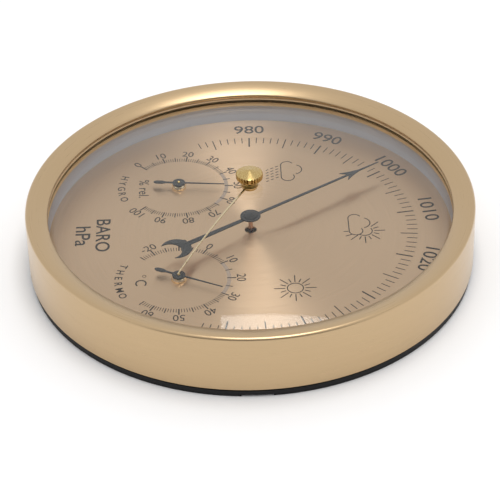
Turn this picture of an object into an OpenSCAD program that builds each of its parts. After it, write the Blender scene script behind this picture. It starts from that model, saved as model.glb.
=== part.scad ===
// Aneroid barometer with hygrometer and thermometer, 132 mm wall model.
// It lies face up: the back cover stands on z = 0, the dial faces +Z, and
// 12 o'clock on the dial is +Y. All sizes are in millimetres.

/* [Case] */
// Outer radius of the gold case
case_r = 66; // [64:0.5:70]
// Wall thickness of the gold case
case_wall = 1; // [0.8:0.1:1.4]
// Height of the case's lower edge above the wall it hangs on
case_foot_z = 2.4; // [2.3:0.1:3]
// Height of the front ring's outer edge
case_top_z = 20.4; // [20.4:0.1:20.8]
// Radius of the front ring's crowned face, seen in section
crown_r = 12; // [11.5:0.5:13]

/* [Back cover] */
// Radius of the black back cover
cover_r = 65.5; // [65:0.1:65.8]
// Thickness of the cover's floor
cover_floor = 1.8; // [1.6:0.1:1.9]
// Distance of the hanging hole from the centre
hang_y = 54; // [53.5:0.5:55]
// Radius of the hanging hole's entry
hang_r = 4; // [3.5:0.25:4]
// Half width of the hanging slot
hang_slot_r = 2; // [1.5:0.25:2]

/* [Glass and dial] */
// Height of the dial's printed face
dial_z = 9.27; // [9.1:0.01:9.5]
// Thickness of the dial
dial_t = 0.5; // [0.4:0.1:0.6]
// Height of the domed glass at its centre
glass_top_z = 26.9; // [26.5:0.1:27.3]
// Outside radius of the glass dome's curvature
glass_sphere_r = 184.3; // [180:0.1:190]
// Thickness of the glass
glass_t = 1; // [0.8:0.1:1.2]
// Distance of each small dial from the vertical centre line
sub_x = 23.4; // [22:0.1:25]
// Height of the small dials' centres on the dial
sub_y = -21.3; // [-23:0.1:-20]

/* [Hands] */
// Bearing of the pressure hand, clockwise from 12 o'clock
baro_bearing = -33.9; // [-60:0.1:60]
// Bearing of the gold reminder hand, clockwise from 12 o'clock
marker_bearing = 120.4; // [0:0.1:359]
// Bearing of the humidity hand, clockwise from upright
hygro_bearing = 6; // [-90:1:90]
// Bearing of the temperature hand, clockwise from upright
thermo_bearing = 26.5; // [-90:0.5:90]
// Height of the pressure hand's blade
baro_hand_z = 13.75; // [13:0.05:14]
// Height of the small hands
sub_hand_z = 10.8; // [10.6:0.05:11.2]

/* [Movement] */
// Distance of the vacuum capsule's centre from the hand arbor
capsule_y = 31.5; // [31:0.25:32]
// Radius of the vacuum capsule
capsule_r = 14; // [12:0.5:14]
// Module of the sector gear and its pinion
gear_module = 0.25; // [0.24:0.01:0.26]
// Teeth of the hand's pinion
pinion_teeth = 10; // [10:1:10]
// Teeth that a full wheel of the sector's size would have
sector_teeth = 100; // [100:1:100]

/* [Hidden] */
$fn = 96;

gold = [0.80, 0.66, 0.42];
brass = [0.78, 0.62, 0.30];
steel = [0.72, 0.73, 0.75];
blued = [0.16, 0.18, 0.22];
black = [0.10, 0.10, 0.11];

case_in_r = case_r - case_wall;
edge_r = 0.9;                                   // round of the case's outer top edge
nose_r = 0.7;                                   // round of the lip
crown_from = 93;                                // the crown's lean at the edge and at the lip
crown_to = 119.3;
crown_lap = 0.02;                               // the crown starts this far inside the rounds
edge_centre = [case_r - edge_r, case_top_z - edge_r];
crown_centre = edge_centre - (crown_r - edge_r) * [cos(crown_from), sin(crown_from)];
nose_centre = crown_centre + (crown_r - nose_r) * [cos(crown_to), sin(crown_to)];
lip_r = nose_centre[0] - nose_r;
lip_under_z = nose_centre[1] - nose_r;
seal_z = 16.2;
dial_under_z = dial_z - dial_t;
dial_r = case_in_r - 0.6;
spacer_r = 59.7;                                // inner radius of the spacer ring
sphere_z = glass_top_z - glass_sphere_r;        // centre of the glass dome's curvature
glass_in_r = glass_sphere_r - glass_t;
glass_r = 62.5;
wall_in_r = 62.3;                               // inner radius of the cover's upright wall
wall_out_r = case_in_r - 0.2;
snap_z = 5;                                     // height of the bead that holds the case
snap_r = 0.45;
plate_z = 2.4;                                  // the movement plate's underside
plate_t = 0.8;
plate_top_z = plate_z + plate_t;
bridge_z = 7.2;
bridge_t = 0.8;
pitch_ratio = (pinion_teeth + sector_teeth) / 2;
gear_gap = 0.03;                                // added to the gears' centre distance
sector_y = gear_module * pitch_ratio + gear_gap;
sector_z = 3.7;
sector_t = 0.6;
tail_r = 1.3;                                   // sector pivot to its tail pin
rocker_x = -3;
rocker_z = 7.5;
rocker_r = 0.6;
rocker_start_y = 14.4;
rocker_end_y = 47.6;
finger_z = 4.9;
capsule_z = 3.8;                                // underside of the capsule
capsule_mid_z = 5.1;                            // its soldered rim
capsule_top_z = 6.4;
leaf_z = 6.9;
leaf_t = 0.4;
block_x = 20.5;
cal_x = 22;
cal_y = capsule_y;
staff_r = 0.675;                                // the copper-coloured hand arbor
pivot_r = 0.5;
fit_gap = 0.06;                                 // running clearance of the pivots
plate_screws = [[-11, -9], [11, -9], [-14.5, 40]];
pillar_spots = [[-10, 7], [10, 7], [0, -8]];
coil_z = 4;
coil_h = 2.4;
coil_r = 8.6;
knob_z = glass_top_z + 0.3;
spindle_r = 1.52;
knurl_r = 3.95;                                 // the knob's knurled rim
knurl_h = 1.8;
knob_foot_r = 3.1;
knob_foot_h = 0.6;
knob_face_r = 3.7;
knob_chamfer = 0.25;
knob_face_h = 0.75;
flutes = 30;
flute_r = 0.2;
baro_hand_t = 0.3;
hub_r = 3;                                      // cap of the pressure hand
hub_h = 0.45;
small_hand_t = 0.25;
small_hub_r = 1.95;                             // eye of a small hand
small_staff_r = 0.4;
bush_r = 2.25;                                  // flange of a small hand's bush
bush_flange_h = 0.45;
bush_h = 1.25;
barrel_r = 1.15;
barrel_z = 7;                                   // foot of the bush's barrel, under the dial
hairspring_z = 5.2;
shank_r = 0.68;                                 // small screws of the bridge and the leaf
tapped_r = 0.7;                                 // their holes
cal_hole_r = 1.07;
leaf_screw_x = block_x - 2.6;
leaf_screw_y = 1.7;
leaf_w = 6;
leaf_tip = 1.4;                                 // the leaf's length past the capsule's post
leaf_hole_r = 0.75;
washer_h = 0.15;                                // foot of the capsule's post, clear of the leaf
washer_r = 1.8;
stem_h = 1.03;
stem_r = 0.5;
plate_round_y = 28;                             // the round part of the movement plate
plate_round_r = 21;
plate_foot = [-15, -13];                        // its square part
plate_foot_size = [30, 40];
plate_tab_x = 27;                               // its tab under the mainspring's block
plate_tab_w = 10;
screw_way_r = 1.02;                             // clearance holes of the plate's screws
rocker_post_y = [16.1, 46.1];
rocker_post_w = 2.6;
rocker_post_t = 1.1;
finger_y = 14.6;                                // the rocker's finger beside the sector's pin
finger_w = 0.9;
finger_h = 3.1;

// A thin disc, ring or tube standing on height z.
module ring(z, h, r, hole = 0) {
    translate([0, 0, z])
        difference() {
            cylinder(h = h, r = r);
            if (hole > 0) translate([0, 0, -1]) cylinder(h = h + 2, r = hole);
        }
}

module at_bearing(angle) { rotate([0, 0, -angle]) children(); }

// ---- Case, glass and dial -------------------------------------------------

// Spun aluminium drum and front ring in one piece. A bead rolled into its
// foot snaps into the back cover's groove.
module case_shell() {
    color(gold) rotate_extrude() {
        polygon(concat(
            [[case_in_r, case_foot_z], [case_r, case_foot_z], [case_r, edge_centre[1]]],
            [for (i = [0:6]) let (a = crown_from + (crown_to - crown_from) * i / 6)
                crown_centre + (crown_r - crown_lap) * [cos(a), sin(a)]],
            [[nose_centre[0], lip_under_z], [case_in_r - 1, lip_under_z],
                [case_in_r, lip_under_z - 0.9]]));
        translate(edge_centre) circle(r = edge_r);
        translate(nose_centre) circle(r = nose_r);
        translate([case_in_r, snap_z]) intersection() {
            circle(r = snap_r);
            translate([-1, -1]) square([1.2, 2]);
        }
    }
}

// Everything inside a sphere that is concentric with the glass dome.
module inside_dome(r) {
    translate([0, 0, sphere_z]) sphere(r = r, $fn = 200);
}

// Rubber ring between the lip and the glass.
module glass_seal() {
    color(black) difference() {
        ring(seal_z, lip_under_z - 0.05 - seal_z, glass_r - 0.1, lip_r + 1.15);
        inside_dome(glass_sphere_r + 0.02);
    }
}

module glass_lens() {
    color([0.85, 0.9, 0.92, 0.35]) difference() {
        intersection() {
            inside_dome(glass_sphere_r);
            ring(10, 20, glass_r);
        }
        inside_dome(glass_in_r);
        translate([0, 0, 20]) cylinder(h = 10, r = 1.6);
    }
}

// Keeps the glass off the dial, with a foot that centres it in the case.
module spacer_ring() {
    color([0.66, 0.68, 0.70]) intersection() {
        union() {
            ring(dial_z, 8, spacer_r + 1.3, spacer_r);
            ring(dial_z, 0.8, case_in_r - 0.3, spacer_r);
        }
        inside_dome(glass_in_r - 0.03);
    }
}

module dial_plate() {
    color(gold) difference() {
        ring(dial_under_z, dial_t, dial_r, 1.8);
        for (side = [-1, 1]) translate([side * sub_x, sub_y, 0])
            cylinder(h = 20, r = 1.2);
    }
}

// ---- Back cover -----------------------------------------------------------

module vent_slots() {
    for (row = [-3:3]) {
        half = sqrt(81 - pow(row * 2.6, 2)) - 1;
        translate([-half, row * 2.6 - 0.6, -1]) cube([2 * half, 1.2, 4]);
    }
}

module hanging_hole() {
    translate([0, hang_y, -1]) cylinder(h = 4, r = hang_r);
    translate([0, hang_y + 5.5, -1]) cylinder(h = 4, r = hang_slot_r);
    translate([-hang_slot_r, hang_y, -1]) cube([2 * hang_slot_r, 5.5, 4]);
}

// Moulded black tray that carries the movement and the dial.
module back_cover() {
    color(black) difference() {
        union() {
            ring(0, cover_floor, cover_r);
            ring(cover_floor, dial_under_z - cover_floor, wall_out_r, wall_in_r);
            for (spot = plate_screws) translate([spot[0], spot[1], cover_floor])
                cylinder(h = plate_z - cover_floor, r = 3.2);
            // stiffening ribs from the hanging hole's frame to the wall
            for (side = [-1, 1])
                translate([side * 7 - 0.6, hang_y - 5, cover_floor - 0.1]) cube([1.2, 11, 2.6]);
        }
        translate([0, 0, snap_z]) rotate_extrude() translate([wall_out_r + 0.2, 0])
            circle(r = snap_r + 0.15);
        for (spot = plate_screws) translate([spot[0], spot[1], -1]) {
            cylinder(h = 5, r = 1.1);
            cylinder(h = 1.9, r = 2.3);
        }
        translate([cal_x, cal_y, -1]) cylinder(h = 4, r = 2.6);
        for (side = [-1, 1]) translate([side * sub_x, sub_y, 0]) vent_slots();
        hanging_hole();
        // breathing notches in the rim
        for (turn = [0:90:270]) rotate([0, 0, turn])
            translate([cover_r - 3, -4.5, -1]) cube([5, 9, 1.5]);
    }
}

// A cheese-head screw with a slot across its head, which faces -Z.
module slotted_screw(head_r, head_h, shank_r, length) {
    difference() {
        union() {
            cylinder(h = head_h, r = head_r);
            cylinder(h = head_h + length, r = shank_r);
        }
        translate([-head_r, -0.25, -0.1]) cube([2 * head_r, 0.5, 0.1 + head_h / 2]);
    }
}

module movement_screws() {
    color(steel) for (spot = plate_screws) translate([spot[0], spot[1], 0.1])
        rotate([0, 0, 25 * spot[0]]) slotted_screw(2, 0.8, 1, 2.1);
}

// ---- Movement frame -------------------------------------------------------

module movement_plate() {
    color(brass) difference() {
        translate([0, 0, plate_z]) linear_extrude(plate_t) union() {
            translate([0, plate_round_y]) circle(r = plate_round_r);
            translate(plate_foot) square(plate_foot_size);
            translate([10, capsule_y - plate_tab_w / 2]) square([plate_tab_x - 10, plate_tab_w]);
        }
        for (spot = plate_screws) translate([spot[0], spot[1], 0])
            cylinder(h = 5, r = screw_way_r);
        cylinder(h = 5, r = pivot_r + fit_gap);
        translate([0, sector_y, 0]) cylinder(h = 5, r = pivot_r + fit_gap);
        translate([cal_x, cal_y, 0]) cylinder(h = 5, r = cal_hole_r);
    }
}

module movement_pillars() {
    color(brass) for (spot = pillar_spots) translate([spot[0], spot[1], plate_top_z])
        difference() {
            cylinder(h = bridge_z - plate_top_z, r = 1.5);
            translate([0, 0, 2]) cylinder(h = 5, r = tapped_r);
        }
}

module movement_bridge() {
    color(brass) difference() {
        translate([0, 0, bridge_z]) linear_extrude(bridge_t) union() {
            translate([-1.8, -10]) square([3.6, sector_y + 11.2]);
            translate([-12, 5]) square([24, 4]);
        }
        for (spot = pillar_spots) translate([spot[0], spot[1], 5]) cylinder(h = 5, r = 0.75);
        translate([0, 0, 5]) cylinder(h = 5, r = staff_r + fit_gap);
        translate([0, sector_y, 5]) cylinder(h = 5, r = pivot_r + fit_gap);
    }
}

module bridge_screws() {
    color(steel) for (spot = pillar_spots)
        translate([spot[0], spot[1], bridge_z + bridge_t + 0.5]) mirror([0, 0, 1])
            slotted_screw(1.3, 0.5, shank_r, 2.4);
}

// ---- Capsule, mainspring and rocker ---------------------------------------

// Steps that stand for the pressed rings of a diaphragm.
module diaphragm(z, h) {
    ring(z, h * 0.6, capsule_r, 0);
    for (r = [4:3:capsule_r - 1]) ring(z, h, r + 0.9, r - 0.6);
}

module capsule_lower() {
    color(steel) translate([0, capsule_y, 0]) {
        mirror([0, 0, 1]) translate([0, 0, -capsule_mid_z])
            diaphragm(0, capsule_mid_z - capsule_z);
        ring(plate_top_z, capsule_mid_z - plate_top_z - 0.2, 2.6);
    }
}

module capsule_upper() {
    color(steel) translate([0, capsule_y, 0])
        diaphragm(capsule_mid_z, capsule_top_z - capsule_mid_z - 0.05);
}

module capsule_post() {
    color(brass) translate([0, capsule_y, 0]) {
        ring(capsule_top_z, washer_h, washer_r);
        ring(capsule_top_z, stem_h, stem_r);
    }
}

module mainspring_leaf() {
    color(steel) difference() {
        translate([-leaf_tip, capsule_y - leaf_w / 2, leaf_z])
            cube([block_x + 4 + leaf_tip, leaf_w, leaf_t]);
        translate([0, capsule_y, 0]) cylinder(h = 10, r = leaf_hole_r);
        for (side = [-1, 1])
            translate([leaf_screw_x, capsule_y + side * leaf_screw_y, 0])
                cylinder(h = 10, r = tapped_r + 0.05);
    }
}

module mainspring_block() {
    color(brass) difference() {
        translate([block_x - 4.5, capsule_y - 3.5, plate_top_z])
            cube([8.5, 7, leaf_z - plate_top_z]);
        translate([cal_x, cal_y, 0]) cylinder(h = 5.2, r = cal_hole_r);
        for (side = [-1, 1])
            translate([leaf_screw_x, capsule_y + side * leaf_screw_y, 4.4])
                cylinder(h = 5, r = tapped_r);
    }
}

module leaf_screws() {
    color(steel) for (side = [-1, 1])
        translate([leaf_screw_x, capsule_y + side * leaf_screw_y, leaf_z + leaf_t + 0.5])
            mirror([0, 0, 1]) slotted_screw(1.3, 0.5, shank_r, 2.4);
}

module calibration_screw() {
    color(brass) translate([cal_x, cal_y, 0.8]) slotted_screw(2.2, 1.1, 1, 3);
}

module rocker_posts() {
    color(brass) difference() {
        for (y = rocker_post_y) translate([rocker_x - rocker_post_w / 2, y, plate_top_z])
            cube([rocker_post_w, rocker_post_t, rocker_z + 0.9 - plate_top_z]);
        translate([rocker_x, 0, rocker_z]) rotate([-90, 0, 0])
            cylinder(h = 60, r = rocker_r + fit_gap);
    }
}

module rocker_shaft() {
    color(steel) translate([rocker_x, rocker_start_y, rocker_z]) rotate([-90, 0, 0])
        cylinder(h = rocker_end_y - rocker_start_y, r = rocker_r);
}

// One arm rests on the capsule's post, the other hangs down to the sector.
module rocker_arms() {
    color(steel) difference() {
        union() {
            translate([rocker_x - 0.8, capsule_y - 0.5, rocker_z + 0.15])
                cube([4.3, 1, 0.5]);
            translate([rocker_x - 0.8, capsule_y - 0.5, rocker_z - 0.3]) cube([1.6, 1, 0.8]);
            translate([rocker_x - 0.9, finger_y, finger_z]) cube([1.1, finger_w, finger_h]);
            translate([rocker_x - 0.9, finger_y, finger_z]) cube([3.3, finger_w, 0.5]);
        }
        translate([rocker_x, 0, rocker_z]) rotate([-90, 0, 0])
            cylinder(h = 60, r = rocker_r);
    }
}

// ---- Gears and pressure hand ----------------------------------------------

pressure_angle = 25;
tooth_top = 0.8;                                // addendum in modules
tooth_root = 1.1;                               // dedendum in modules
tooth_slack = 0.03;                             // each flank is set back by this

function involute_angle(base, r) =
    let (t = sqrt(max(0, pow(r / base, 2) - 1))) t * 180 / PI - atan(t);

// Half the tooth's angle at radius r.
function half_tooth(teeth, r) =
    let (pitch = gear_module * teeth / 2, base = pitch * cos(pressure_angle))
    90 / teeth - tooth_slack / pitch * 180 / PI
    + involute_angle(base, pitch) - involute_angle(base, max(base, r));

// One tooth's outline, pointing along +X, from its root to its tip and back.
function tooth(teeth, turn) =
    let (
        pitch = gear_module * teeth / 2,
        low = pitch - tooth_root * gear_module,
        high = pitch + tooth_top * gear_module,
        rise = [for (i = [0:4]) low + (high - low) * i / 4]
    )
    concat(
        [for (r = rise) let (a = turn - half_tooth(teeth, r)) [r * cos(a), r * sin(a)]],
        [for (i = [4:-1:0]) let (r = rise[i], a = turn + half_tooth(teeth, r))
            [r * cos(a), r * sin(a)]]
    );

module arbor_pinion() {
    color(brass) translate([0, 0, sector_z - 0.1]) linear_extrude(sector_t + 0.2)
        difference() {
            polygon([for (i = [0:pinion_teeth - 1])
                each tooth(pinion_teeth, 90 + i * 360 / pinion_teeth)]);
            circle(r = staff_r);
        }
}

module sector_gear() {
    step = 360 / sector_teeth;
    root = gear_module * (sector_teeth / 2 - tooth_root);
    color(brass) translate([0, sector_y, sector_z]) {
        difference() {
            linear_extrude(sector_t) {
                polygon(concat([[0, 0]], [for (i = [-6:6])
                    each tooth(sector_teeth, -90 + (i + 0.5) * step)]));
                translate([-0.7, 0]) square([1.4, tail_r]);
                translate([0, tail_r]) circle(r = 0.7);
                circle(r = 1.1);
            }
            // window that lightens the sector
            translate([0, 0, -1]) linear_extrude(3) intersection() {
                difference() {
                    circle(r = root - 1);
                    circle(r = 4);
                }
                polygon([[0, -1], [-3.4, -12], [3.4, -12]]);
            }
            translate([0, 0, -1]) cylinder(h = 3, r = pivot_r);
        }
        translate([0, tail_r, sector_t]) cylinder(h = 1.4, r = 0.3);
    }
}

module sector_staff() {
    color(steel) translate([0, sector_y, plate_z + 0.1])
        cylinder(h = bridge_z + bridge_t - plate_z - 0.2, r = pivot_r);
}

module hand_arbor() {
    color([0.72, 0.45, 0.33]) {
        translate([0, 0, plate_z + 0.1]) cylinder(h = 1.2, r = pivot_r);
        translate([0, 0, 3.5]) cylinder(h = baro_hand_z - 3.6, r = staff_r);
        ring(5.1, 0.8, 1.25);
    }
}

// Flat spiral strip of thickness t, from radius r0 to r1 in the given turns.
module spiral(r0, r1, turns, t) {
    steps = turns * 24;
    polygon(concat(
        [for (i = [0:steps]) let (r = r0 + (r1 - r0) * i / steps + t / 2, a = i * 15)
            [r * cos(a), r * sin(a)]],
        [for (i = [steps:-1:0]) let (r = r0 + (r1 - r0) * i / steps - t / 2, a = i * 15)
            [r * cos(a), r * sin(a)]]
    ));
}

module hairspring() {
    color(steel) translate([0, 0, hairspring_z]) linear_extrude(0.6) spiral(1.34, 5, 5, 0.12);
}

module hairspring_stud() {
    color(brass) translate([5.55, 0, 5]) {
        cylinder(h = bridge_z - 5 + 0.4, r = 0.45);
        translate([-4.2, -0.8, bridge_z - 5 - 0.4]) cube([4.8, 1.6, 0.4]);
    }
}

// Arrow, blade and crescent tail cut from one sheet, pointing along +Y.
module baro_hand() {
    color(blued) at_bearing(baro_bearing) translate([0, 0, baro_hand_z])
        linear_extrude(baro_hand_t) difference() {
            union() {
                circle(r = 2.4);
                polygon([[-0.55, 0], [0.55, 0], [0.36, 36.3], [2.15, 34.6], [1, 37.6],
                    [0.32, 40.6], [0.12, 48], [-0.12, 48], [-0.32, 40.6], [-1, 37.6],
                    [-2.15, 34.6], [-0.36, 36.3]]);
                polygon([[0.6, 0], [-0.6, 0], [-0.9, -23.4], [0.9, -23.4]]);
                translate([0, -26.4]) circle(r = 4.55);
            }
            translate([0, -28.7]) circle(r = 3.6);
        }
}

module baro_hub() {
    color(blued) difference() {
        union() {
            ring(baro_hand_z + baro_hand_t, hub_h, hub_r);
            translate([0, 0, baro_hand_z + baro_hand_t + hub_h]) intersection() {
                translate([0, 0, -5.55]) sphere(r = 6.3);
                cylinder(h = 2, r = hub_r);
            }
            ring(baro_hand_z - 1, 1, 1.3);
        }
        cylinder(h = baro_hand_z - 0.1, r = staff_r);
    }
}

// ---- Thermometer and hygrometer -------------------------------------------

module bush() {
    color(brass) difference() {
        union() {
            ring(dial_z, bush_flange_h, bush_r);
            translate([0, 0, dial_z]) intersection() {
                sphere(r = bush_r);
                translate([0, 0, bush_flange_h - 0.05])
                    cylinder(h = bush_h - bush_flange_h + 0.05, r = bush_r + 1);
            }
            ring(barrel_z, dial_z - barrel_z, barrel_r);
        }
        cylinder(h = 12, r = small_staff_r + fit_gap);
    }
}

// Strip on the bush's barrel, with a bent tab that holds the coil's end.
module carrier() {
    color(steel) {
        difference() {
            translate([-2, -1.6, 7.2]) cube([coil_r + 3.1, 3.2, 0.6]);
            cylinder(h = 12, r = barrel_r + 0.03);
        }
        translate([coil_r + 0.45, -1.6, coil_z]) cube([0.65, 3.2, 3.3]);
    }
}

module staff() {
    color(steel) {
        translate([0, 0, coil_z - 0.6]) cylinder(h = sub_hand_z - coil_z + 0.6, r = small_staff_r);
        ring(coil_z - 0.2, coil_h + 0.4, 1.1);
    }
}

module coil(turns) {
    color([0.70, 0.62, 0.50]) translate([0, 0, coil_z]) linear_extrude(coil_h)
        spiral(1.25, coil_r + 0.3, turns, 0.24);
}

module small_hand() {
    color(blued) difference() {
        translate([0, 0, sub_hand_z]) linear_extrude(small_hand_t) {
            circle(r = small_hub_r);
            polygon([[-0.3, 0], [0.3, 0], [0.12, 14], [-0.12, 14]]);
            polygon([[0.35, 0], [-0.35, 0], [-0.35, -4], [-0.8, -5.2], [-0.75, -6.9],
                [-0.3, -7.7], [0.3, -7.7], [0.75, -6.9], [0.8, -5.2], [0.35, -4]]);
        }
        cylinder(h = sub_hand_z + small_hand_t / 2, r = small_staff_r + 0.02);
    }
}

module on_thermo() { translate([sub_x, sub_y, 0]) children(); }
module on_hygro() { translate([-sub_x, sub_y, 0]) children(); }

module thermo_bush() { on_thermo() bush(); }
module thermo_carrier() { on_thermo() carrier(); }
module thermo_coil() { on_thermo() coil(4); }
module thermo_staff() { on_thermo() staff(); }
module thermo_hand() { on_thermo() at_bearing(thermo_bearing) small_hand(); }
module hygro_bush() { on_hygro() bush(); }
module hygro_carrier() { on_hygro() carrier(); }
module hygro_coil() { on_hygro() coil(6); }
module hygro_staff() { on_hygro() staff(); }
module hygro_hand() { on_hygro() at_bearing(hygro_bearing) small_hand(); }

// ---- Reminder hand and its knob -------------------------------------------

module knob_washer() {
    color(brass) ring(glass_top_z + 0.02, 0.2, 2.6, 1.6);
}

module setting_knob() {
    rim_z = knob_z + knob_foot_h;
    face_z = rim_z + knurl_h;
    color(brass) difference() {
        union() {
            translate([0, 0, knob_z]) cylinder(h = knob_foot_h, r1 = knob_foot_r, r2 = knurl_r);
            ring(rim_z, knurl_h, knurl_r);
            translate([0, 0, face_z]) cylinder(h = knob_chamfer, r1 = knurl_r, r2 = knob_face_r);
            translate([0, 0, face_z + knob_chamfer])
                cylinder(h = knob_face_h, r1 = knob_face_r, r2 = 0.15);
        }
        for (i = [0:flutes - 1]) rotate([0, 0, i * 360 / flutes])
            translate([knurl_r + 0.08, 0, knob_z])
                cylinder(h = knob_foot_h + knurl_h, r = flute_r, $fn = 16);
        translate([0, 0, knob_z - 1]) cylinder(h = 2.2, r = spindle_r + 0.01);
    }
}

module knob_spindle() {
    color(brass) translate([0, 0, glass_top_z - glass_t - 1.4])
        cylinder(h = glass_t + 1.4 + 1.4, r = spindle_r);
}

// Thin needle bent to the curve of the glass, with a round eye.
module set_hand() {
    needle_r = glass_in_r - 0.25;
    color(brass) difference() {
        intersection() {
            inside_dome(needle_r);
            at_bearing(marker_bearing) translate([0, 0, 10]) linear_extrude(30) {
                circle(r = 2.6);
                polygon([[-0.3, 0], [0.3, 0], [0.14, 41.8], [-0.14, 41.8]]);
            }
        }
        inside_dome(needle_r - 0.3);
        cylinder(h = 30, r = spindle_r + 0.01);
    }
}

module spindle_collar() {
    color(brass) ring(glass_top_z - glass_t - 1.3, 0.7, 2.2, spindle_r + 0.01);
}

case_shell();
glass_seal();
glass_lens();
spacer_ring();
dial_plate();
back_cover();
movement_screws();
movement_plate();
movement_pillars();
movement_bridge();
bridge_screws();
capsule_lower();
capsule_upper();
capsule_post();
mainspring_leaf();
mainspring_block();
leaf_screws();
calibration_screw();
rocker_posts();
rocker_shaft();
rocker_arms();
sector_gear();
sector_staff();
hand_arbor();
arbor_pinion();
hairspring();
hairspring_stud();
baro_hand();
baro_hub();
thermo_bush();
thermo_carrier();
thermo_coil();
thermo_staff();
thermo_hand();
hygro_bush();
hygro_carrier();
hygro_coil();
hygro_staff();
hygro_hand();
knob_washer();
setting_knob();
knob_spindle();
set_hand();
spindle_collar();
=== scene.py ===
"""Aneroid barometer, 132 mm across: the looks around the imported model. Lengths are in metres."""
import math

import bpy
from mathutils import Matrix, Vector


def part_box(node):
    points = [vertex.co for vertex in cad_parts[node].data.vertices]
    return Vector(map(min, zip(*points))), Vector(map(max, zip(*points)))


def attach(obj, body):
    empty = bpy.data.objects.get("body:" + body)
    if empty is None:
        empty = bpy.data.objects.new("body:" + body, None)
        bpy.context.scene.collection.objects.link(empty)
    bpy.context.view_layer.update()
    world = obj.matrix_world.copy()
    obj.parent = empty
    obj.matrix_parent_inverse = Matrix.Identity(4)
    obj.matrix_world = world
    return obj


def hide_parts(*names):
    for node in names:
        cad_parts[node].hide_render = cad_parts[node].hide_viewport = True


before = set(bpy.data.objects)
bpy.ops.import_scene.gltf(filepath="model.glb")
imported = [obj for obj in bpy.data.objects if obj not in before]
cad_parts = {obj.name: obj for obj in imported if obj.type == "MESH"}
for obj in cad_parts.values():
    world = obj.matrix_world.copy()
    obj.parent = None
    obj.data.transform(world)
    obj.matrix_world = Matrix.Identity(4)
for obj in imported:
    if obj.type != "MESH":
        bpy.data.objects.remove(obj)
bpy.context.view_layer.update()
MM = 0.001


# ---- Back cover -------------------------------------------------------------
# The tray that the barometer hangs by, moulded in black plastic with a fine
# spark-eroded grain. The case is pushed over its upright wall.

def new_finish(name, colour, metallic, roughness):
    """A material with one Principled shader, and the values that are the same all over it."""
    finish = bpy.data.materials.new(name)
    finish.use_nodes = True
    shader = finish.node_tree.nodes["Principled BSDF"]
    shader.inputs["Base Color"].default_value = (*colour, 1)
    shader.inputs["Metallic"].default_value = metallic
    shader.inputs["Roughness"].default_value = roughness
    return finish, finish.node_tree, shader


def calc(tree, operation, a, b=0.0):
    """A Math node's result. a and b are sockets or numbers."""
    node = tree.nodes.new("ShaderNodeMath")
    node.operation = operation
    for socket, value in zip(node.inputs, (a, b)):
        if isinstance(value, bpy.types.NodeSocket):
            tree.links.new(value, socket)
        else:
            socket.default_value = value
    return node.outputs[0]


def place(tree):
    """The piece's own coordinates, as X, Y and Z in metres."""
    split = tree.nodes.new("ShaderNodeSeparateXYZ")
    tree.links.new(tree.nodes.new("ShaderNodeTexCoord").outputs["Object"], split.inputs[0])
    return split.outputs


def noise(tree, size, detail=2.0, vector=None):
    """Noise whose lumps are about size across."""
    node = tree.nodes.new("ShaderNodeTexNoise")
    node.inputs["Scale"].default_value = 1 / size
    node.inputs["Detail"].default_value = detail
    if vector is None:
        vector = tree.nodes.new("ShaderNodeTexCoord").outputs["Object"]
    tree.links.new(vector, node.inputs["Vector"])
    return node.outputs["Fac"]


def spread(tree, value, low, high):
    """Stretches a 0 to 1 value over low to high."""
    node = tree.nodes.new("ShaderNodeMapRange")
    node.inputs["From Min"].default_value = 0.3
    node.inputs["From Max"].default_value = 0.7
    node.inputs["To Min"].default_value = low
    node.inputs["To Max"].default_value = high
    tree.links.new(value, node.inputs["Value"])
    return node.outputs["Result"]


def shades(tree, value, dark, light):
    """A colour between dark and light."""
    node = tree.nodes.new("ShaderNodeMix")
    node.data_type = "RGBA"
    node.inputs["A"].default_value = (*dark, 1)
    node.inputs["B"].default_value = (*light, 1)
    tree.links.new(value, node.inputs["Factor"])
    return node.outputs["Result"]


def relief(tree, shader, height, depth):
    """Raises the surface by up to depth where height is 1."""
    node = tree.nodes.new("ShaderNodeBump")
    node.inputs["Distance"].default_value = depth
    tree.links.new(height, node.inputs["Height"])
    tree.links.new(node.outputs["Normal"], shader.inputs["Normal"])


def coat(finish, *nodes):
    """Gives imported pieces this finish."""
    for name in nodes:
        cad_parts[name].data.materials.clear()
        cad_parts[name].data.materials.append(finish)


black_plastic, tree, shader = new_finish("black_plastic", (0.008, 0.008, 0.009), 0, 0.5)
shader.inputs["Specular IOR Level"].default_value = 0.25
grain = noise(tree, 0.35 * MM, 4)
tree.links.new(spread(tree, grain, 0.44, 0.58), shader.inputs["Roughness"])
relief(tree, shader, grain, 0.02 * MM)
coat(black_plastic, "back_cover")


# ---- Movement ---------------------------------------------------------------
# Brass plate, pillars, bridge, blocks and gears with the fine lines of their
# grinding, steel screws, staffs and springs, and the nickelled capsule.

def turned_metal(name, colour, roughness, line=0.12 * MM):
    """Metal with straight grinding lines along X, a little uneven in shade and gloss."""
    finish, tree, shader = new_finish(name, colour, 1, roughness)
    x, y, z = place(tree)
    across = tree.nodes.new("ShaderNodeCombineXYZ")
    tree.links.new(calc(tree, "MULTIPLY", x, 0.04), across.inputs[0])
    tree.links.new(y, across.inputs[1])
    tree.links.new(z, across.inputs[2])
    lines = noise(tree, line, 3, across.outputs[0])
    cloud = noise(tree, 6 * MM, 2)
    darker = [0.82 * c for c in colour]
    tree.links.new(shades(tree, cloud, darker, colour), shader.inputs["Base Color"])
    tree.links.new(spread(tree, lines, roughness - 0.06, roughness + 0.08),
                   shader.inputs["Roughness"])
    relief(tree, shader, lines, 0.004 * MM)
    return finish


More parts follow.
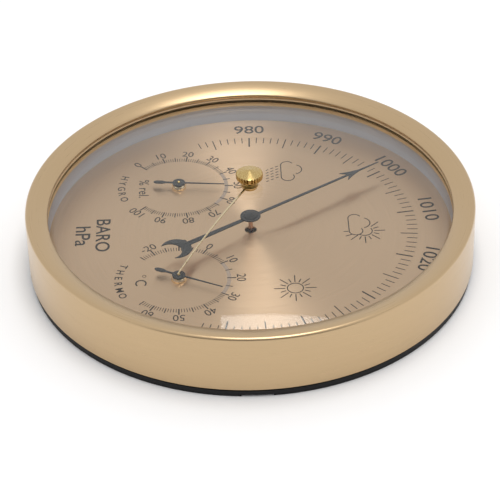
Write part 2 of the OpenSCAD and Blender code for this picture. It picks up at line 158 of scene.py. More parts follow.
brass = turned_metal("brass", (0.78, 0.55, 0.22), 0.24)
steel = turned_metal("steel", (0.60, 0.61, 0.63), 0.26)
spring_steel = turned_metal("spring_steel", (0.44, 0.45, 0.48), 0.3)
bimetal = turned_metal("bimetal", (0.62, 0.52, 0.38), 0.32)
coat(brass, "movement_plate", "movement_pillars", "movement_bridge", "mainspring_block",
     "rocker_posts", "sector_gear", "arbor_pinion", "hairspring_stud", "capsule_post",
     "calibration_screw")
coat(steel, "movement_screws", "bridge_screws", "leaf_screws", "rocker_shaft", "rocker_arms",
     "sector_staff", "thermo_carrier", "hygro_carrier", "thermo_staff", "hygro_staff")
coat(spring_steel, "mainspring_leaf", "hairspring", "capsule_lower", "capsule_upper")
coat(bimetal, "thermo_coil", "hygro_coil")


# ---- Dial -------------------------------------------------------------------
# Aluminium disc, anodised champagne. It is brushed while it turns, so its
# lines are circles and light runs out from its centre in two wedges.

def along_the_turn(tree):
    """The direction of a circle round the dial's axis, and the distance from that axis."""
    x, y, z = place(tree)
    flat = tree.nodes.new("ShaderNodeCombineXYZ")
    tree.links.new(x, flat.inputs[0])
    tree.links.new(y, flat.inputs[1])
    cross = tree.nodes.new("ShaderNodeVectorMath")
    cross.operation = "CROSS_PRODUCT"
    cross.inputs[0].default_value = (0, 0, 1)
    tree.links.new(flat.outputs[0], cross.inputs[1])
    length = tree.nodes.new("ShaderNodeVectorMath")
    length.operation = "LENGTH"
    tree.links.new(flat.outputs[0], length.inputs[0])
    return cross.outputs["Vector"], length.outputs["Value"], z


def ring_lines(tree, distance, height, size):
    """Noise that is nearly the same all along each circle, as brushing leaves it."""
    x, y, z = place(tree)
    where = tree.nodes.new("ShaderNodeCombineXYZ")
    tree.links.new(distance, where.inputs[0])
    tree.links.new(height, where.inputs[1])
    turn = calc(tree, "ARCTAN2", y, x)
    tree.links.new(calc(tree, "MULTIPLY", calc(tree, "ABSOLUTE", turn), 0.5 * MM), where.inputs[2])
    return noise(tree, size, 3, where.outputs[0])


dial_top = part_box("dial_plate")[1].z
champagne, tree, shader = new_finish("champagne_dial", (0.66, 0.44, 0.275), 1, 0.34)
shader.inputs["Anisotropic"].default_value = 0.93
shader.inputs["Anisotropic Rotation"].default_value = 0.25
circle_way, distance, height = along_the_turn(tree)
tree.links.new(circle_way, shader.inputs["Tangent"])
brushing = ring_lines(tree, distance, height, 0.2 * MM)
tree.links.new(shades(tree, brushing, (0.56, 0.378, 0.243), (0.73, 0.503, 0.328)),
               shader.inputs["Base Color"])
tree.links.new(spread(tree, brushing, 0.29, 0.40), shader.inputs["Roughness"])
coat(champagne, "dial_plate")


# ---- Printing on the dial ---------------------------------------------------
# Screen-printed scales, numbers, words and weather signs in dark grey ink,
# a few hundredths of a millimetre thick.

INK_Z = dial_top + 0.015 * MM
INK_T = 0.02 * MM
ink, tree, shader = new_finish("printing_ink", (0.04, 0.03, 0.024), 0, 0.6)
shader.inputs["Specular IOR Level"].default_value = 0.2
blotch = noise(tree, 0.5 * MM, 3)
tree.links.new(shades(tree, blotch, (0.03, 0.022, 0.017), (0.05, 0.038, 0.03)),
               shader.inputs["Base Color"])
pale_ink, tree, shader = new_finish("comfort_band_ink", (0.38, 0.285, 0.22), 0, 0.6)
shader.inputs["Specular IOR Level"].default_value = 0.1
blotch = noise(tree, 0.6 * MM, 3)
tree.links.new(shades(tree, blotch, (0.36, 0.265, 0.205), (0.41, 0.305, 0.24)),
               shader.inputs["Base Color"])

low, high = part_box("thermo_bush")
THERMO = Vector(((low.x + high.x) / 2, (low.y + high.y) / 2))
low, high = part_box("hygro_bush")
HYGRO = Vector(((low.x + high.x) / 2, (low.y + high.y) / 2))
MIDDLE = Vector((0, 0))


def deselect():
    """Leaves edit mode with nothing selected."""
    if bpy.context.object and bpy.context.object.mode != "OBJECT":
        bpy.ops.object.mode_set(mode="OBJECT")
    bpy.ops.object.select_all(action="DESELECT")


def out(centre, bearing, radius):
    """The point at this bearing, clockwise from 12 o'clock in degrees, and distance."""
    turn = math.radians(bearing)
    return centre + radius * Vector((math.sin(turn), math.cos(turn)))


def start_print(name):
    """An empty printed piece, open in edit mode."""
    deselect()
    bpy.ops.mesh.primitive_plane_add(size=MM)
    piece = bpy.context.object
    piece.name = name
    bpy.ops.object.mode_set(mode="EDIT")
    bpy.ops.mesh.select_all(action="SELECT")
    bpy.ops.mesh.delete(type="VERT")
    return piece


def bar(a, b, width):
    """A straight printed line from a to b."""
    way = b - a
    bpy.ops.mesh.primitive_cube_add(
        size=1, location=((a.x + b.x) / 2, (a.y + b.y) / 2, INK_Z),
        rotation=(0, 0, math.atan2(way.y, way.x)), scale=(way.length, width, INK_T))


def arc(centre, radius, start, sweep, width):
    """A printed line along a circle, clockwise from bearing start."""
    bpy.ops.mesh.select_all(action="DESELECT")
    spot = out(centre, start, radius)
    bpy.ops.mesh.primitive_plane_add(size=width, location=(spot.x, spot.y, INK_Z),
                                     rotation=(math.pi / 2, 0, math.radians(90 - start)))
    bpy.ops.transform.resize(value=(1, 1, INK_T / width),
                             center_override=(spot.x, spot.y, INK_Z))
    steps = max(4, round(abs(sweep) / 6))
    bpy.ops.mesh.spin(steps=steps, angle=math.radians(sweep),
                      center=(centre.x, centre.y, INK_Z), axis=(0, 0, 1))


def finish_print(piece, material):
    """Closes a printed piece and gives it its ink."""
    bpy.ops.mesh.select_all(action="SELECT")
    bpy.ops.mesh.normals_make_consistent(inside=False)
    bpy.ops.object.mode_set(mode="OBJECT")
    keep(piece, "root", material)


def keep(piece, body, material=None):
    """Gives a finished piece its body and material."""
    if material:
        piece.data.materials.clear()
        piece.data.materials.append(material)
    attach(piece, body)


def ticks(centre, values, zero, step, inner, outer, width):
    """Printed marks. zero is the bearing of value 0, and step the degrees for each unit."""
    for value in values:
        bearing = zero + value * step
        bar(out(centre, bearing, inner), out(centre, bearing, outer), width)


HPA = 2.7                               # degrees for each hectopascal
HPA_ZERO = -1013 * HPA
piece = start_print("pressure_scale")
ticks(MIDDLE, [v for v in range(973, 1054) if v % 5], HPA_ZERO, HPA,
      46.4 * MM, 49.4 * MM, 0.27 * MM)
ticks(MIDDLE, range(975, 1054, 10), HPA_ZERO, HPA, 44.4 * MM, 49.4 * MM, 0.32 * MM)
ticks(MIDDLE, range(980, 1054, 10), HPA_ZERO, HPA, 44.4 * MM, 49.4 * MM, 0.47 * MM)
finish_print(piece, ink)

SUB_IN = 13.9 * MM
HYGRO_ZERO, HYGRO_STEP = -135, 2.7
THERMO_ZERO, THERMO_STEP = -60, 3.0
piece = start_print("hygro_scale")
ticks(HYGRO, [v for v in range(0, 101) if v % 5 and not 40 < v < 65], HYGRO_ZERO, HYGRO_STEP,
      SUB_IN, 15.5 * MM, 0.19 * MM)
ticks(HYGRO, range(5, 100, 10), HYGRO_ZERO, HYGRO_STEP, SUB_IN, 16.0 * MM, 0.32 * MM)
ticks(HYGRO, range(0, 101, 10), HYGRO_ZERO, HYGRO_STEP, SUB_IN, 16.5 * MM, 0.4 * MM)
finish_print(piece, ink)
piece = start_print("thermo_scale")
ticks(THERMO, [v for v in range(-25, 66) if v % 5 and not 10 < v < 30], THERMO_ZERO, THERMO_STEP,
      SUB_IN, 15.5 * MM, 0.19 * MM)
ticks(THERMO, range(-25, 66, 10), THERMO_ZERO, THERMO_STEP, SUB_IN, 16.0 * MM, 0.32 * MM)
ticks(THERMO, range(-20, 61, 10), THERMO_ZERO, THERMO_STEP, SUB_IN, 16.5 * MM, 0.4 * MM)
finish_print(piece, ink)
piece = start_print("comfort_bands")
UNDER_TICKS = 0.004 * MM
INK_Z -= UNDER_TICKS
BAND_R, BAND_W = 14.5 * MM, 1.1 * MM
arc(HYGRO, BAND_R, HYGRO_ZERO + 40 * HYGRO_STEP, 25 * HYGRO_STEP, BAND_W)
arc(THERMO, BAND_R, THERMO_ZERO + 10 * THERMO_STEP, 20 * THERMO_STEP, BAND_W)
INK_Z += UNDER_TICKS
finish_print(piece, pale_ink)


def letter(text, size, narrow, spot, bearing, thicker=0):
    """Printed text, centred on spot, whose top points to this bearing."""
    deselect()
    bpy.ops.object.text_add()
    words = bpy.context.object
    words.data.body = text
    words.data.size = size
    words.data.align_x = "CENTER"
    words.data.extrude = INK_T / 2
    words.data.offset = thicker
    bpy.ops.object.convert(target="MESH")
    words = bpy.context.object
    xs = [v.co.x for v in words.data.vertices]
    ys = [v.co.y for v in words.data.vertices]
    centre = Vector(((min(xs) + max(xs)) / 2, (min(ys) + max(ys)) / 2, 0))
    words.data.transform(
        Matrix.Translation((spot.x, spot.y, INK_Z))
        @ Matrix.Rotation(-math.radians(bearing), 4, "Z")
        @ Matrix.Diagonal((narrow, 1, 1, 1)) @ Matrix.Translation(-centre))
    return words


def join_print(name, letters):
    """Joins letters into one printed piece."""
    deselect()
    for words in letters:
        words.select_set(True)
    bpy.context.view_layer.objects.active = letters[0]
    bpy.ops.object.join()
    piece = bpy.context.object
    piece.name = name
    keep(piece, "root", ink)


join_print("pressure_numbers", [
    letter(str(v), 6.0 * MM, 1.08, out(MIDDLE, HPA_ZERO + v * HPA, 54.1 * MM),
           HPA_ZERO + v * HPA, 0.03 * MM) for v in range(980, 1051, 10)])
join_print("hygro_numbers", [
    letter(str(v), 3.8 * MM, 0.98, out(HYGRO, HYGRO_ZERO + v * HYGRO_STEP, 18 * MM),
           HYGRO_ZERO + v * HYGRO_STEP) for v in range(0, 101, 10)])
join_print("thermo_numbers", [
    letter(str(v), 3.8 * MM, 0.98, out(THERMO, THERMO_ZERO + v * THERMO_STEP, 18 * MM),
           THERMO_ZERO + v * THERMO_STEP) for v in range(-20, 61, 10)])


def arched(text, size, narrow, centre, radius, pitch):
    """Letters one by one along the foot of a circle, with their tops inwards."""
    middle = (len(text) - 1) / 2
    return [letter(c, size, narrow, out(centre, 180 - (i - middle) * pitch, radius),
                   -(i - middle) * pitch, 0.03 * MM) for i, c in enumerate(text)]


words = [letter("BARO", 6.0 * MM, 1.05, Vector((0.5, -43.8)) * MM, 0, 0.05 * MM),
         letter("hPa", 6.3 * MM, 1.12, Vector((0.7, -49.8)) * MM, 0, 0.05 * MM),
         letter("% rel.", 4.3 * MM, 1.0, HYGRO + Vector((0.4, -10.7)) * MM, 0),
         letter("C", 4.7 * MM, 0.95, THERMO + Vector((1.1, -10.9)) * MM, 0)]
words += arched("HYGRO", 3.2 * MM, 0.92, HYGRO, 17.5 * MM, 9.4)
words += arched("THERMO", 3.2 * MM, 0.92, THERMO, 17.5 * MM, 9.4)
join_print("dial_words", words)
piece = start_print("degree_sign")
arc(THERMO + Vector((-2.0, -10.0)) * MM, 0.5 * MM, 0, 360, 0.16 * MM)
finish_print(piece, ink)


def sun_rays(centre, bearings):
    """Long and short rays in turn, round a sun."""
    for i, bearing in enumerate(bearings):
        far = 6.1 * MM if i % 2 == 0 else 4.6 * MM
        bar(out(centre, bearing, 2.9 * MM), out(centre, bearing, far), LINE)


def cloud(centre):
    """Three lobes over a flat foot, as arcs that meet."""
    for x, y, radius, start, sweep in ((-3.3, -1.0, 1.9, 180, 152), (-0.8, 0.9, 2.6, -65, 139),
                                       (3.2, -0.9, 2.0, -35, 215)):
        arc(centre + Vector((x, y)) * MM, radius * MM, start, sweep, LINE)
    bar(centre + Vector((-3.3, -2.9)) * MM, centre + Vector((3.2, -2.9)) * MM, LINE)


LINE = 0.3 * MM
SUN = Vector((29.3, 12.0)) * MM
SUN_CLOUD = Vector((-0.8, 32.0)) * MM
RAIN_CLOUD = Vector((-30.2, 13.0)) * MM
piece = start_print("sun_sign")
SUN_R = 2.3 * MM
arc(SUN, SUN_R, 0, 360, LINE)
sun_rays(SUN, [i * 22.5 for i in range(16)])
finish_print(piece, ink)
piece = start_print("sun_and_cloud_sign")
cloud(SUN_CLOUD)
hidden_sun = SUN_CLOUD + Vector((3.3, 1.6)) * MM
arc(hidden_sun, SUN_R, -32, 170, LINE)
sun_rays(hidden_sun, [-45 + i * 22.5 for i in range(9)])
for bearing, start in ((157.5, 4.2), (180, 4.8)):
    bar(out(hidden_sun, bearing, start * MM), out(hidden_sun, bearing, 6.2 * MM), LINE)
finish_print(piece, ink)
piece = start_print("rain_cloud_sign")
cloud(RAIN_CLOUD)
for row in range(3):
    for drop in range(5):
        foot = RAIN_CLOUD + Vector((-2.4 + drop * 1.5 + row * 0.9, -4.6 - row * 1.5)) * MM
        bar(foot, foot + Vector((-0.5, 0.85)) * MM, LINE)
finish_print(piece, ink)


# ---- Bushes and small hands -------------------------------------------------
# Domed brass bushes are riveted through the dial. The thermometer's and the
# hygrometer's hands are stamped from thin sheet and finished blue-black.

polished_brass, tree, shader = new_finish("polished_brass", (0.86, 0.60, 0.22), 1, 0.16)
rub = noise(tree, 0.8 * MM, 4)
tree.links.new(shades(tree, rub, (0.62, 0.42, 0.15), (0.72, 0.52, 0.22)),
               shader.inputs["Base Color"])
tree.links.new(spread(tree, rub, 0.12, 0.22), shader.inputs["Roughness"])
hand_black, tree, shader = new_finish("hand_black", (0.034, 0.03, 0.028), 0.3, 0.36)
rub = noise(tree, 1.2 * MM, 4)
tree.links.new(shades(tree, rub, (0.028, 0.025, 0.024), (0.042, 0.038, 0.036)),
               shader.inputs["Base Color"])
tree.links.new(spread(tree, rub, 0.28, 0.42), shader.inputs["Roughness"])
pale_brass, tree, shader = new_finish("pale_brass", (0.88, 0.66, 0.42), 1, 0.13)
rub = noise(tree, 0.8 * MM, 4)
tree.links.new(shades(tree, rub, (0.86, 0.66, 0.42), (0.97, 0.80, 0.56)),
               shader.inputs["Base Color"])
tree.links.new(spread(tree, rub, 0.09, 0.18), shader.inputs["Roughness"])
coat(pale_brass, "thermo_bush", "hygro_bush")


def eased(node, body, width):
    """A stamped piece with its edges eased, in place of the sharp one."""
    deselect()
    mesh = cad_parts[node].data.copy()
    piece = bpy.data.objects.new(node + "_eased", mesh)
    bpy.context.scene.collection.objects.link(piece)
    piece.select_set(True)
    bpy.context.view_layer.objects.active = piece
    bpy.ops.object.mode_set(mode="EDIT")
    bpy.ops.mesh.select_all(action="SELECT")
    bpy.ops.mesh.remove_doubles(threshold=0.002 * MM)
    bpy.ops.mesh.dissolve_limited(angle_limit=math.radians(2))
    bpy.ops.mesh.normals_make_consistent(inside=False)
    bpy.ops.object.mode_set(mode="OBJECT")
    ease = piece.modifiers.new("ease", "BEVEL")
    ease.width = width
    ease.segments = 2
    ease.angle_limit = math.radians(40)
    bpy.ops.object.modifier_apply(modifier="ease")
    bpy.ops.object.shade_smooth_by_angle(angle=math.radians(35))
    keep(piece, body, hand_black)
    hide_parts(node)


def turned(name, outline, middle=MIDDLE, steps=144):
    """A piece cut on a lathe: its outline, as radius and height, spun round an upright axis."""
    deselect()
    bpy.ops.mesh.primitive_plane_add(size=MM)
    piece = bpy.context.object
    piece.name = name
    bpy.ops.object.mode_set(mode="EDIT")
    bpy.ops.mesh.select_all(action="SELECT")
    bpy.ops.mesh.merge(type="CENTER")
    here = Vector((0, 0, 0))
    for corner, (radius, height) in enumerate(outline):
        there = Vector((middle.x + radius, middle.y, height))
        if corner:
            bpy.ops.mesh.extrude_vertices_move(TRANSFORM_OT_translate={"value": there - here})
        else:
            bpy.ops.transform.translate(value=there)
        here = there
    bpy.ops.mesh.select_all(action="SELECT")
    bpy.ops.mesh.spin(steps=steps, angle=math.radians(360), center=(middle.x, middle.y, 0),
                      axis=(0, 0, 1))
    bpy.ops.mesh.select_all(action="SELECT")
    bpy.ops.mesh.remove_doubles(threshold=0.002 * MM)
    bpy.ops.mesh.normals_make_consistent(inside=False)
    bpy.ops.object.mode_set(mode="OBJECT")
    bpy.ops.object.shade_smooth_by_angle(angle=math.radians(35))
    return piece


def round_off(centre, radius, first, last, pieces=6):
    """Outline points along a circle, from one angle to another in degrees."""
    return [(centre[0] + radius * math.cos(math.radians(first + (last - first) * i / pieces)),
             centre[1] + radius * math.sin(math.radians(first + (last - first) * i / pieces)))
            for i in range(pieces + 1)]


def varied(finish, name):
    """A copy of a finish, to be given a second colour on part of the piece."""
    copy = finish.copy()
    copy.name = name
    return copy, copy.node_tree, copy.node_tree.nodes["Principled BSDF"]


def recolour(tree, shader, where, colour):
    """Gives the places where the value is 1 another colour."""
    blend = tree.nodes.new("ShaderNodeMix")
    blend.data_type = "RGBA"
    tree.links.new(where, blend.inputs["Factor"])
    tree.links.new(shader.inputs["Base Color"].links[0].from_socket, blend.inputs["A"])
    blend.inputs["B"].default_value = (*colour, 1)
    tree.links.new(blend.outputs["Result"], shader.inputs["Base Color"])


blade_black, tree, shader = varied(hand_black, "blade_black")
bare = calc(tree, "LESS_THAN", place(tree)[2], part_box("baro_hand")[0].z + 0.02 * MM)
recolour(tree, shader, bare, (0.50, 0.33, 0.24))
tree.links.new(calc(tree, "MAXIMUM", bare, 0.3), shader.inputs["Metallic"])
eased("baro_hand", "pressure_hand", 0.05 * MM)
bpy.context.object.data.materials[0] = blade_black
eased("thermo_hand", "temperature_hand", 0.04 * MM)
eased("hygro_hand", "humidity_hand", 0.04 * MM)
low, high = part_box("baro_hub")
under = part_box("baro_hand")[1].z
HUB_R = high.x
HUB_T, HUB_EDGE = 0.3 * MM, 0.15 * MM
hub = turned("domed_hub", [(0, under), (HUB_R, under), (HUB_R, under + HUB_T)]
             + round_off((HUB_R - HUB_EDGE, under + HUB_T), HUB_EDGE, 0, 90, 3)
             + [(2.2 * MM, under + 0.42 * MM), (2.1 * MM, under + 0.6 * MM)]
             + round_off((0, under - 3.4 * MM), 4.55 * MM, 63, 90, 6))
keep(hub, "pressure_hand", hand_black)
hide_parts("baro_hub")
blade_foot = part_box("baro_hand")[0].z
BORE, COLLAR_R = 0.69 * MM, 1.3 * MM
collar = turned("hub_collar", [(BORE, low.z), (COLLAR_R - 0.1 * MM, low.z),
                               (COLLAR_R, low.z + 0.1 * MM), (COLLAR_R, blade_foot),
                               (BORE, blade_foot), (BORE, low.z)], MIDDLE, 48)
keep(collar, "pressure_hand", hand_black)
PIN_R = 0.5 * MM
for node, body, middle in (("thermo_hand", "temperature_hand", THERMO),
                           ("hygro_hand", "humidity_hand", HYGRO)):
    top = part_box(node)[1].z
    pin = turned(node + "_pin", [(0, top), (PIN_R, top)]
                 + round_off((0, top), PIN_R, 12, 90, 4), middle, 32)
    keep(pin, body, polished_brass)
copper, tree, shader = new_finish("copper_staff", (0.50, 0.30, 0.20), 1, 0.3)
rub = noise(tree, 0.5 * MM, 4)
tree.links.new(spread(tree, rub, 0.2, 0.36), shader.inputs["Roughness"])
coat(copper, "hand_arbor")


# ---- Spacer ring, seal and glass --------------------------------------------
# A satin grey ring stands on the dial and carries the domed glass. A rubber
# ring presses the glass down from under the lip.

spacer_grey, tree, shader = new_finish("spacer_grey", (0.45, 0.485, 0.58), 0.3, 0.4)
rub = noise(tree, 1.5 * MM, 3)
tree.links.new(spread(tree, rub, 0.36, 0.46), shader.inputs["Roughness"])
GOLD_BAND_FROM = 14.7 * MM                   # the ring is coloured gold above this height
gold_band = calc(tree, "GREATER_THAN", place(tree)[2], GOLD_BAND_FROM)
tree.links.new(shades(tree, gold_band, (0.45, 0.485, 0.58), (0.82, 0.61, 0.37)),
               shader.inputs["Base Color"])
coat(spacer_grey, "spacer_ring")
# The seal's light tan is partly its own colour and partly a painted reflection of the case's gold lip,
# made light against the shade under the lip.
rubber_and_painted_reflection, tree, shader = new_finish("seal_rubber", (0.72, 0.52, 0.30), 0, 0.5)
relief(tree, shader, noise(tree, 0.3 * MM, 3), 0.02 * MM)
tree.links.new(shades(tree, noise(tree, 2 * MM, 2), (0.68, 0.49, 0.28), (0.76, 0.55, 0.32)),
               shader.inputs["Base Color"])
DOME = 184.3 * MM
glass_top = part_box("glass_lens")[1].z
low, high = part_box("glass_seal")
SEAL_IN, BEAD = 59.6 * MM, 0.45 * MM


def on_glass(radius):
    """A point just clear of the dome's outer face."""
    return radius, glass_top - DOME + math.sqrt(DOME ** 2 - radius ** 2) + 0.04 * MM


outline = [on_glass(SEAL_IN), on_glass(SEAL_IN + 0.7 * MM), on_glass(SEAL_IN + 1.3 * MM),
           (high.x, low.z), (high.x - 0.1 * MM, high.z)]
outline += round_off((SEAL_IN + BEAD, high.z - BEAD), BEAD, 90, 180)
outline.append(on_glass(SEAL_IN))
seal = turned("rubber_seal", outline, MIDDLE, 192)
keep(seal, "root", rubber_and_painted_reflection)
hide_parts("glass_seal")

clear_glass = bpy.data.materials.new("clear_glass")
clear_glass.use_nodes = True
tree = clear_glass.node_tree
tree.nodes.remove(tree.nodes["Principled BSDF"])
through = tree.nodes.new("ShaderNodeBsdfTransparent")
through.inputs["Color"].default_value = (0.97, 0.985, 0.985, 1)
gloss = tree.nodes.new("ShaderNodeBsdfGlossy")
gloss.inputs["Roughness"].default_value = 0.02
angle = tree.nodes.new("ShaderNodeFresnel")
inside = tree.nodes.new("ShaderNodeNewGeometry").outputs["Backfacing"]
tree.links.new(calc(tree, "SUBTRACT", 1.5, calc(tree, "MULTIPLY", inside, 1.5 - 1 / 1.5)),
               angle.inputs["IOR"])
blend = tree.nodes.new("ShaderNodeMixShader")
tree.links.new(calc(tree, "MULTIPLY", angle.outputs[0], 0.6), blend.inputs["Fac"])
tree.links.new(through.outputs[0], blend.inputs[1])
tree.links.new(gloss.outputs[0], blend.inputs[2])
tree.links.new(blend.outputs[0], tree.nodes["Material Output"].inputs["Surface"])
coat(clear_glass, "glass_lens")


# ---- Reminder hand and knob -------------------------------------------------
# Turned brass: the knob's rim is knurled, its face is a shallow cone. It turns
# on a spindle through the glass, whose collar holds the gold hand underneath.

turned_brass, tree, shader = new_finish("turned_brass", (0.60, 0.43, 0.18), 1, 0.24)
shader.inputs["Anisotropic"].default_value = 0.8
shader.inputs["Anisotropic Rotation"].default_value = 0.25
circle_way, distance, height = along_the_turn(tree)
tree.links.new(circle_way, shader.inputs["Tangent"])
lathe_marks = ring_lines(tree, distance, height, 0.1 * MM)
tree.links.new(shades(tree, lathe_marks, (0.54, 0.385, 0.155), (0.61, 0.445, 0.19)),
               shader.inputs["Base Color"])
tree.links.new(spread(tree, lathe_marks, 0.18, 0.3), shader.inputs["Roughness"])
coat(turned_brass, "knob_spindle", "knob_washer", "spindle_collar")
reminder_gold, tree, shader = new_finish("reminder_gold", (0.74, 0.60, 0.38), 1, 0.3)
tree.links.new(spread(tree, noise(tree, 1.2 * MM, 3), 0.24, 0.36), shader.inputs["Roughness"])
coat(reminder_gold, "set_hand")

low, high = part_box("setting_knob")
KNOB_R = (high.x - low.x) / 2
FLUTES = 30
deselect()
bpy.ops.mesh.primitive_circle_add(vertices=3 * FLUTES, radius=KNOB_R, location=(0, 0, low.z))
knob = bpy.context.object
bpy.ops.object.transform_apply(location=True)
knob.name = "knurled_knob"


def every_third(mesh, chosen, height):
    """Selects the corners at the foot of each flute, at this height."""
    bpy.ops.mesh.select_all(action="DESELECT")
    bpy.ops.object.mode_set(mode="OBJECT")
    for corner in mesh.vertices:
        turn = round(math.atan2(corner.co.y, corner.co.x) / (2 * math.pi) * 3 * FLUTES)
        corner.select = turn % 3 == chosen and abs(corner.co.z - height) < 0.01 * MM
    bpy.ops.object.mode_set(mode="EDIT")


def ring_up(rise, scale):
    """Draws the last ring up and makes it wider or narrower."""
    bpy.ops.mesh.extrude_edges_move(TRANSFORM_OT_translate={"value": (0, 0, rise)})
    bpy.ops.transform.resize(value=(scale, scale, 1), center_override=(0, 0, 0))


bpy.ops.object.mode_set(mode="EDIT")
bpy.ops.mesh.select_all(action="SELECT")
bpy.ops.transform.resize(value=(0.8, 0.8, 1), center_override=(0, 0, 0))
rim_low = low.z + 0.9 * MM
rim_high = low.z + 2.3 * MM
ring_up(rim_low - low.z, 1 / 0.8)
ring_up(rim_high - rim_low, 1)
CHAMFER = 0.1 * MM
ring_up(CHAMFER, 0.95)
cone_h = high.z - rim_high - CHAMFER
for smaller in range(6):
    ring_up(cone_h / 6, (5 - smaller + 0.02) / (6 - smaller + (0.02 if smaller else 0)))
for height in (rim_low, rim_high):
    every_third(knob.data, 0, height)
    bpy.ops.transform.resize(value=(0.9, 0.9, 1), center_override=(0, 0, 0))
bpy.ops.mesh.select_all(action="SELECT")
bpy.ops.mesh.remove_doubles(threshold=0.03 * MM)
bpy.ops.mesh.normals_make_consistent(inside=False)
bpy.ops.object.mode_set(mode="OBJECT")
bpy.ops.object.shade_smooth_by_angle(angle=math.radians(20))
knob_brass_painted_shade, tree, shader = varied(turned_brass, "knob_brass_painted_shade")
circle_way, distance, height = along_the_turn(tree)
# Painted shade: the knurl's grooves and the foot under the rim are coloured darker brass, as shade in
# the recesses.
groove_shade = calc(tree, "MULTIPLY", calc(tree, "LESS_THAN", distance, 0.965 * KNOB_R),
            calc(tree, "LESS_THAN", height, rim_high - 0.02 * MM))
recolour(tree, shader, groove_shade, (0.42, 0.28, 0.10))
keep(knob, "reminder", knob_brass_painted_shade)
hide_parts("setting_knob")


# ---- Case -------------------------------------------------------------------
# One aluminium drawing, anodised gold and brushed round its axis. Its rolled
# front ring keeps the glass in.

gold_case, tree, shader = new_finish("gold_case", (0.58, 0.41, 0.225), 1, 0.29)
shader.inputs["Anisotropic"].default_value = 0.5
shader.inputs["Anisotropic Rotation"].default_value = 0.25
circle_way, distance, height = along_the_turn(tree)
tree.links.new(circle_way, shader.inputs["Tangent"])
brushing = ring_lines(tree, distance, height, 0.18 * MM)
tree.links.new(shades(tree, brushing, (0.525, 0.375, 0.21), (0.575, 0.415, 0.24)),
               shader.inputs["Base Color"])
tree.links.new(spread(tree, brushing, 0.27, 0.33), shader.inputs["Roughness"])
shader.inputs["Coat Weight"].default_value = 0.3
shader.inputs["Coat Roughness"].default_value = 0.16

low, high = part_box("case_shell")
WALL = 1.0 * MM
CASE_R, CASE_IN = high.x, high.x - WALL
FOOT_EDGE = 0.2 * MM
EDGE, CROWN, NOSE = 0.9 * MM, 12 * MM, 0.7 * MM
edge_centre = (CASE_R - EDGE, high.z - EDGE)
CROWN_FROM, CROWN_TO = 93, 119.3        # the crown's lean at the edge and at the lip
lean = math.radians(CROWN_FROM)
crown_centre = (edge_centre[0] - (CROWN - EDGE) * math.cos(lean),
                edge_centre[1] - (CROWN - EDGE) * math.sin(lean))
lean = math.radians(CROWN_TO)
nose_centre = (crown_centre[0] + (CROWN - NOSE) * math.cos(lean),
               crown_centre[1] + (CROWN - NOSE) * math.sin(lean))
under = nose_centre[1] - NOSE
outline = [(CASE_IN, low.z), (CASE_R - FOOT_EDGE, low.z), (CASE_R, low.z + FOOT_EDGE)]
outline += round_off(edge_centre, EDGE, 0, CROWN_FROM, 8)
outline += round_off(crown_centre, CROWN, CROWN_FROM, CROWN_TO, 10)[1:]
outline += round_off(nose_centre, NOSE, CROWN_TO, 270, 8)[1:]
outline += [(CASE_IN - WALL, under), (CASE_IN, under - EDGE), (CASE_IN, low.z)]
case = turned("spun_case", outline, MIDDLE, 192)
keep(case, "root", gold_case)
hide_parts("case_shell")


# ---- Studio -----------------------------------------------------------------
# A white floor, one soft box overhead, pale air that is dimmer behind the
# camera, and the camera.

DIAL_TURN = math.radians(0.65)          # the dial stands this far from square to the camera


def studio(right, away, up):
    """A place in the studio, seen from the camera's side."""
    c, s = math.cos(DIAL_TURN), math.sin(DIAL_TURN)
    return Vector((right * s - away * c, right * c + away * s, up))


deselect()
bpy.ops.mesh.primitive_plane_add(size=12, location=(0, 0, -0.1 * MM))
floor = bpy.context.object
floor.name = "floor"
floor_white, tree, shader = new_finish("floor_white", (0.97, 0.97, 0.97), 0, 0.9)
floor.data.materials.append(floor_white)


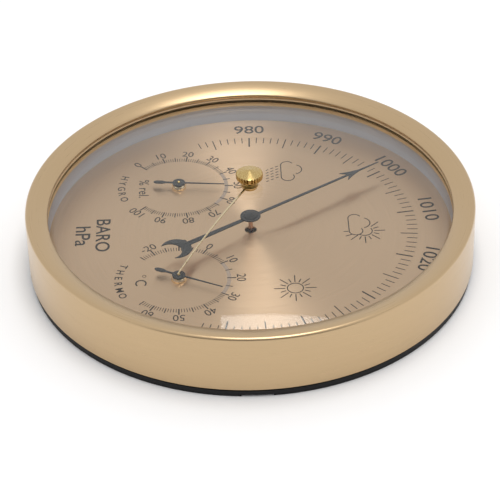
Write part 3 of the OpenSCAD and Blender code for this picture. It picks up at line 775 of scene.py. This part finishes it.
def soft_box(name, spot, aim, width, depth, power):
    """A rectangular lamp at spot that faces aim."""
    bpy.ops.object.light_add(type="AREA", location=spot)
    lamp = bpy.context.object
    lamp.name = name
    lamp.data.shape = "RECTANGLE"
    lamp.data.size = width
    lamp.data.size_y = depth
    lamp.data.energy = power
    lamp.rotation_mode = "QUATERNION"
    back = (spot - aim).normalized()
    right = studio(1, 0, 0)
    up = back.cross(right).normalized()
    lamp.rotation_quaternion = Matrix((right, up, back)).transposed().to_quaternion()


soft_box("key_overhead", studio(0.08, -0.085, 1.0), studio(0.08, -0.085, 0), 0.37, 0.72, 3.9)

world = bpy.data.worlds.new("studio_air")
bpy.context.scene.world = world
world.use_nodes = True
world.node_tree.nodes["Background"].inputs["Color"].default_value = (0.86, 0.86, 0.87, 1)
towards = world.node_tree.nodes.new("ShaderNodeVectorMath")
towards.operation = "DOT_PRODUCT"
towards.inputs[1].default_value = studio(0, -1, 0)
world.node_tree.links.new(world.node_tree.nodes.new("ShaderNodeTexCoord").outputs["Generated"],
                          towards.inputs[0])
dim = world.node_tree.nodes.new("ShaderNodeMapRange")
dim.interpolation_type = "SMOOTHSTEP"
dim.inputs["From Min"].default_value = 0.48
dim.inputs["From Max"].default_value = 0.86
dim.inputs["To Min"].default_value = 1.0
dim.inputs["To Max"].default_value = 0.25
world.node_tree.links.new(towards.outputs["Value"], dim.inputs["Value"])
world.node_tree.links.new(dim.outputs["Result"], world.node_tree.nodes["Background"].inputs["Strength"])

ELEVATION = math.radians(36.41)
camera_data = bpy.data.cameras.new("camera")
camera = bpy.data.objects.new("camera", camera_data)
bpy.context.scene.collection.objects.link(camera)
camera_data.sensor_width = 36
camera_data.lens = 154.96
camera_data.shift_x = -0.0028
camera_data.shift_y = 0.0094
camera_data.clip_start = 0.01
ahead = studio(0, math.cos(ELEVATION), -math.sin(ELEVATION))
right = studio(1, 0, 0)
up = right.cross(ahead)
TILT = math.radians(1.481)
side = right * math.cos(TILT) - up * math.sin(TILT)
top = up * math.cos(TILT) + right * math.sin(TILT)
camera.rotation_mode = "QUATERNION"
camera.rotation_quaternion = Matrix((side, top, -ahead)).transposed().to_quaternion()
CAMERA_FAR = 0.64394
camera.location = -ahead * CAMERA_FAR
bpy.context.scene.camera = camera
bpy.context.scene.view_settings.view_transform = "Standard"

bpy.context.view_layer.update()
